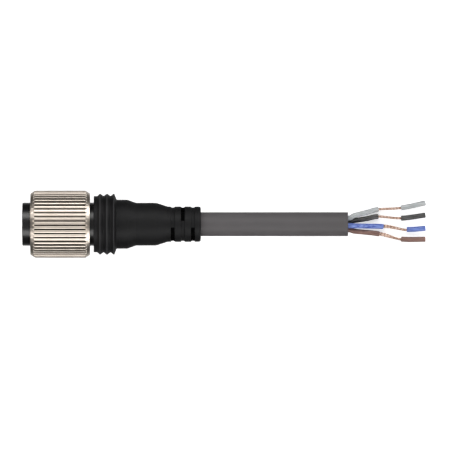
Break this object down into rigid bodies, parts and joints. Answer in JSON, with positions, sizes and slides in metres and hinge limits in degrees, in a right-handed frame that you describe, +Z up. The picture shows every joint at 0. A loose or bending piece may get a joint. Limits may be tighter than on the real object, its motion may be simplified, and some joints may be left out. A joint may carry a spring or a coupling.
{
  "type": "circular cable connector",
  "caption": "Straight female M12 cable connector with a knurled coupling nut that turns, a ribbed moulded grip with slotted strain relief, and a short stripped lead.",
  "frame": {"origin": "centre of the mating face, the front end of the nose", "axes": "-X points out of the mating face and +X back along the connector's axis to the lead, +Z up from the surface that the part lies on, and the keyway faces -Z"},
  "size_m": [0.0842, 0.014, 0.014],
  "materials": {
    "carrier": "glossy black moulded polyamide",
    "contact": "gold-plated turned brass",
    "seal": "red-brown fluoro rubber",
    "nut": "nickel-plated knurled brass",
    "inner_mould": "hidden polypropylene moulding",
    "grip": "matt black thermoplastic polyurethane overmould",
    "jacket": "grey extruded polyurethane sheath",
    "insulation_brown": "brown extruded insulation",
    "insulation_white": "white extruded insulation",
    "insulation_blue": "blue extruded insulation",
    "insulation_black": "black extruded insulation",
    "copper": "bare stranded copper"
  },
  "bodies": {
    "housing": {"contact_carrier": "carrier", "contact_1": "contact", "contact_2": "contact", "contact_3": "contact", "contact_4": "contact", "o_ring": "seal", "inner_mould": "inner_mould", "grip_body": "grip", "cable_jacket": "jacket", "core_brown": "insulation_brown", "core_white": "insulation_white", "core_blue": "insulation_blue", "core_black": "insulation_black", "conductor_brown": "copper", "conductor_white": "copper", "conductor_blue": "copper", "conductor_black": "copper", "tip_brown": "insulation_brown", "tip_white": "insulation_white", "tip_blue": "insulation_blue", "tip_black": "insulation_black"},
    "nut": {"coupling_nut": "nut"}
  },
  "joints": [
    {"name": "nut_spin", "type": "hinge", "parent": "housing", "child": "nut", "pos_m": [0.008, 0, 0], "axis": [1, 0, 0], "continuous": true}
  ]
}
